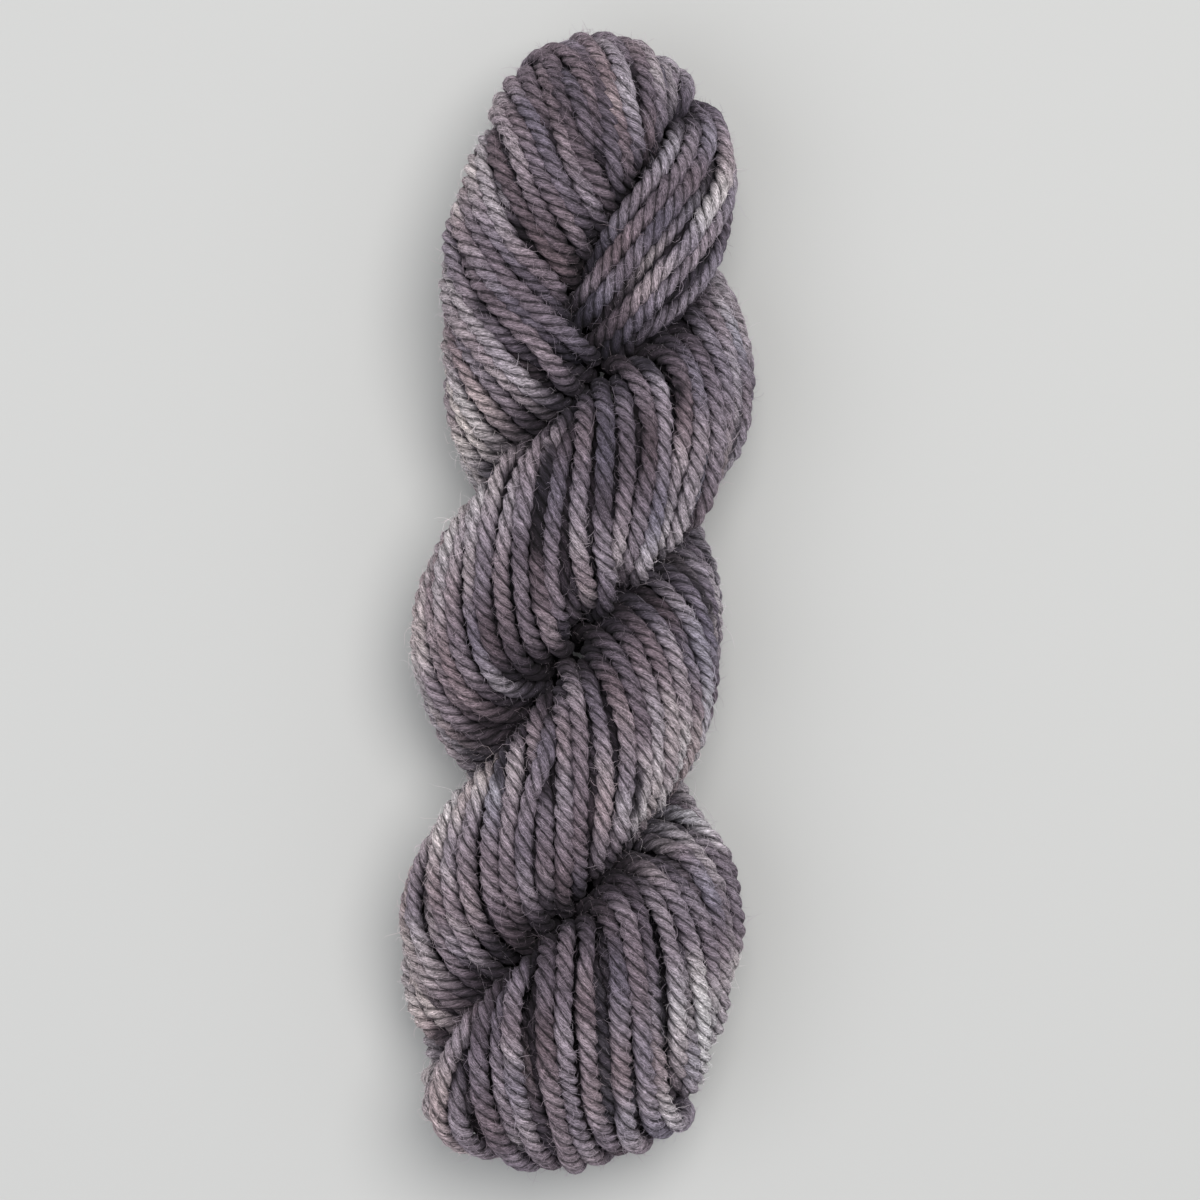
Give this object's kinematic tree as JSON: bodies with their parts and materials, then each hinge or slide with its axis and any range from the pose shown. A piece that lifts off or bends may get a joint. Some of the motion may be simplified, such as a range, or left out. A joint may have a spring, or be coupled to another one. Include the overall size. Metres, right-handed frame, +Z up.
{
  "type": "skein of rug yarn",
  "caption": "Twisted and folded skein of thick three-ply wool rug yarn lying flat: two bundles laid round each other, folded at one end and tucked at the other.",
  "frame": {"origin": "middle of the underside of the skein's box, on the surface it lies on", "axes": "+Y along the skein from its folded end to its tucked end, +Z up, +X to the right seen from above with +Y away"},
  "size_m": [0.0808, 0.2518, 0.0585],
  "materials": {
    "yarn": "matte, softly fuzzy three-ply wool, hand-dyed mauve grey"
  },
  "bodies": {
    "root": {"skein": "yarn"}
  },
  "joints": []
}
